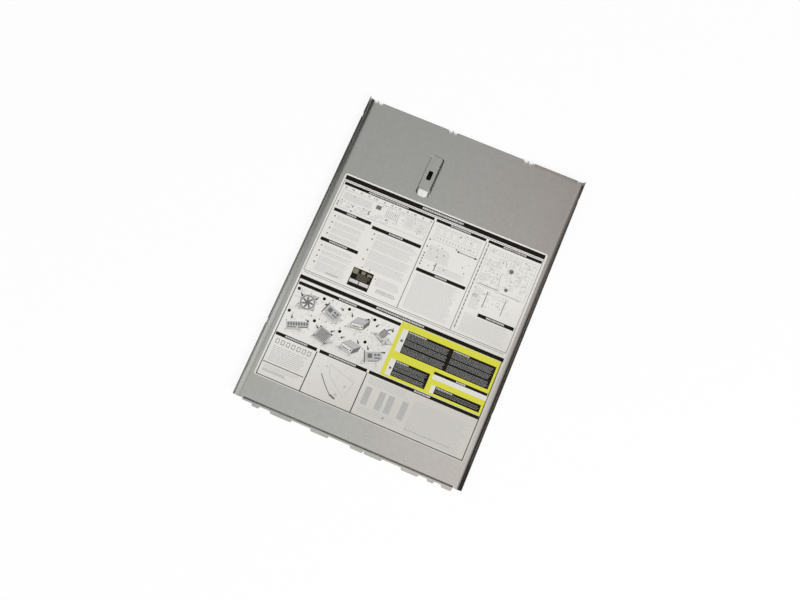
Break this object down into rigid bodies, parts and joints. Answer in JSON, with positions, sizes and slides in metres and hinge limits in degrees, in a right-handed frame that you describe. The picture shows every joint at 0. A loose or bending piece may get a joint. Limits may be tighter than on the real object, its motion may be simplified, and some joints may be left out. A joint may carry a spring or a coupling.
{
  "type": "server access panel",
  "caption": "Folded sheet-steel top cover for a rack server, shown inside up, with side flanges, front tongues, a drawn latch pocket with a flush lever, and a printed label.",
  "frame": {"origin": "middle of the flat outer face, halfway between the tips of the front tongues and the rear edge", "axes": "+X across the panel, +Y towards its rear edge, +Z from the outer face to the inside"},
  "size_m": [0.438, 0.624, 0.012],
  "materials": {
    "zinc_steel": "satin zinc plate",
    "label_paper": "smooth printed sheet",
    "bracket_steel": "bright zinc",
    "black_plastic": "fine grain"
  },
  "bodies": {
    "panel": {"access_panel": "zinc_steel", "service_label": "label_paper", "latch_bracket": "bracket_steel", "latch_pin": "bracket_steel"},
    "lever": {"latch_lever": "black_plastic"}
  },
  "joints": [
    {"name": "latch_open", "type": "hinge", "parent": "panel", "child": "lever", "pos_m": [-0.0546, 0.2375, 0.0048], "axis": [1, 0, 0], "range_deg": [0, 75]}
  ]
}
